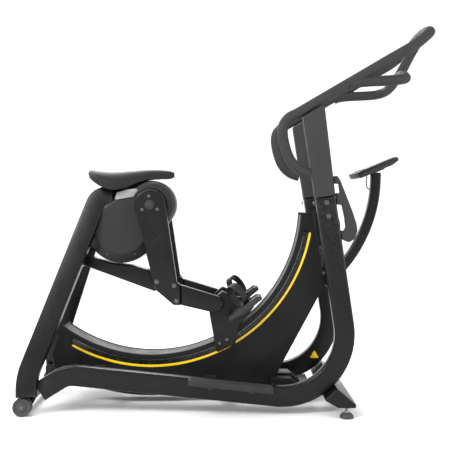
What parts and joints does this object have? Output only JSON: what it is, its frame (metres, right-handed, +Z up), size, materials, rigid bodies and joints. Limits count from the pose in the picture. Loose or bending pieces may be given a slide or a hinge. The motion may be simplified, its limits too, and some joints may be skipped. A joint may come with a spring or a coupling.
{
  "type": "seated pendulum stair climber",
  "caption": "Seated stair climber with two swinging pedal arms, curved guide track, saddle, tall handlebars and console.",
  "frame": {"origin": "on the floor, at mid length and mid width", "axes": "+X forwards to the handlebar end, +Y to the user's left, +Z up"},
  "size_m": [1.8224, 0.668, 1.694],
  "materials": {
    "satin_black_paint": "satin powder coat",
    "cover_black": "satin moulded",
    "housing_grey": "satin moulded",
    "textured_grey_paint": "fine textured powder coat",
    "track_grey": "satin",
    "black_rubber": "matte",
    "step_rubber": "ribbed matte",
    "wheel_rubber": "matte",
    "strap_rubber": "matte",
    "pedal_plastic": "matte moulded",
    "saddle_vinyl": "satin moulded skin",
    "plain_steel": "turned",
    "screen_glass": "polished",
    "accent_yellow": "gloss"
  },
  "bodies": {
    "root": {"right_side_frame": "satin_black_paint", "right_rear_leg": "satin_black_paint", "left_side_frame": "satin_black_paint", "left_rear_leg": "satin_black_paint", "seat_beam": "satin_black_paint", "under_brace": "satin_black_paint", "front_cross_tube": "satin_black_paint", "front_foot_beam": "satin_black_paint", "wheel_axle": "satin_black_paint", "saddle_bracket": "satin_black_paint", "console_arm": "satin_black_paint", "right_step": "step_rubber", "right_track_cover": "cover_black", "right_drive_cover": "housing_grey", "right_belt": "black_rubber", "right_mast_sleeve": "textured_grey_paint", "right_handlebar": "textured_grey_paint", "right_lift_handle": "textured_grey_paint", "left_step": "step_rubber", "left_track_cover": "cover_black", "left_drive_cover": "housing_grey", "left_belt": "black_rubber", "left_mast_sleeve": "textured_grey_paint", "left_handlebar": "textured_grey_paint", "left_lift_handle": "textured_grey_paint", "track_channel": "track_grey", "pivot_shaft": "plain_steel", "flywheel_axle": "plain_steel", "magnet_brake": "plain_steel", "drive_frame": "plain_steel", "saddle_cushion": "saddle_vinyl", "saddle_pan": "housing_grey", "console_body": "housing_grey", "lower_handlebar": "textured_grey_paint", "console_screen": "screen_glass", "console_lead": "black_rubber"},
    "right_arm": {"right_upper_arm": "satin_black_paint", "right_lower_arm": "satin_black_paint", "right_slide_bracket": "satin_black_paint", "right_drive_hub": "plain_steel", "right_hub_cap": "plain_steel"},
    "right_guide_roller": {"right_guide_roller": "black_rubber"},
    "right_pedal": {"right_pedal": "pedal_plastic", "right_strap": "strap_rubber"},
    "right_wheel": {"right_wheel": "wheel_rubber"},
    "right_levelling_foot": {"right_levelling_foot": "wheel_rubber"},
    "right_clutch_pulley": {"right_clutch_pulley": "plain_steel"},
    "left_arm": {"left_upper_arm": "satin_black_paint", "left_lower_arm": "satin_black_paint", "left_slide_bracket": "satin_black_paint", "left_drive_hub": "plain_steel", "left_hub_cap": "plain_steel"},
    "left_guide_roller": {"left_guide_roller": "black_rubber"},
    "left_pedal": {"left_pedal": "pedal_plastic", "left_strap": "strap_rubber"},
    "left_wheel": {"left_wheel": "wheel_rubber"},
    "left_levelling_foot": {"left_levelling_foot": "wheel_rubber"},
    "left_clutch_pulley": {"left_clutch_pulley": "plain_steel"},
    "flywheel": {"flywheel": "plain_steel"},
    "reversing_gear": {"reversing_gear": "plain_steel"}
  },
  "joints": [
    {"name": "right_arm_swing", "type": "hinge", "parent": "root", "child": "right_arm", "pos_m": [-0.34625, 0, 0.893], "axis": [0, 1, 0], "range_deg": [-44, 44]},
    {"name": "left_arm_swing", "type": "hinge", "parent": "root", "child": "left_arm", "pos_m": [-0.34625, 0, 0.893], "axis": [0, 1, 0], "range_deg": [-44.5, 44.5]},
    {"name": "right_roller_spin", "type": "hinge", "parent": "right_arm", "child": "right_guide_roller", "pos_m": [-0.01386, -0.063, 0.26787], "axis": [0, 1, 0], "continuous": true},
    {"name": "right_pedal_tilt", "type": "hinge", "parent": "right_arm", "child": "right_pedal", "pos_m": [0.07575, -0.172, 0.442], "axis": [0, 1, 0], "range_deg": [-24, 50]},
    {"name": "right_wheel_spin", "type": "hinge", "parent": "root", "child": "right_wheel", "pos_m": [-0.87225, -0.278, 0.039], "axis": [0, 1, 0], "continuous": true},
    {"name": "right_clutch_spin", "type": "hinge", "parent": "root", "child": "right_clutch_pulley", "pos_m": [-0.48125, -0.048, 0.79], "axis": [0, 1, 0], "range_deg": [-105, 105]},
    {"name": "right_foot_screw", "type": "slide", "parent": "root", "child": "right_levelling_foot", "axis": [0, 0, -1], "range_m": [0, 0.015]},
    {"name": "left_roller_spin", "type": "hinge", "parent": "left_arm", "child": "left_guide_roller", "pos_m": [-0.01386, 0.063, 0.26787], "axis": [0, 1, 0], "continuous": true},
    {"name": "left_pedal_tilt", "type": "hinge", "parent": "left_arm", "child": "left_pedal", "pos_m": [0.07575, 0.172, 0.442], "axis": [0, 1, 0], "range_deg": [-24, 50]},
    {"name": "left_wheel_spin", "type": "hinge", "parent": "root", "child": "left_wheel", "pos_m": [-0.87225, 0.278, 0.039], "axis": [0, 1, 0], "continuous": true},
    {"name": "left_clutch_spin", "type": "hinge", "parent": "root", "child": "left_clutch_pulley", "pos_m": [-0.48125, 0.048, 0.79], "axis": [0, 1, 0], "range_deg": [-105, 105]},
    {"name": "left_foot_screw", "type": "slide", "parent": "root", "child": "left_levelling_foot", "axis": [0, 0, -1], "range_m": [0, 0.015]},
    {"name": "flywheel_spin", "type": "hinge", "parent": "root", "child": "flywheel", "pos_m": [-0.48125, 0, 0.79], "axis": [0, 1, 0], "continuous": true},
    {"name": "reversing_gear_spin", "type": "hinge", "parent": "root", "child": "reversing_gear", "pos_m": [-0.37425, 0, 0.893], "axis": [1, 0, 0], "range_deg": [-45, 45]}
  ],
  "couplings": [
    {"joint": "left_arm_swing", "follows": "right_arm_swing", "ratio": -1},
    {"joint": "reversing_gear_spin", "follows": "right_arm_swing", "ratio": -1},
    {"joint": "right_clutch_spin", "follows": "right_arm_swing", "ratio": 2.3333},
    {"joint": "left_clutch_spin", "follows": "right_arm_swing", "ratio": -2.3333}
  ]
}
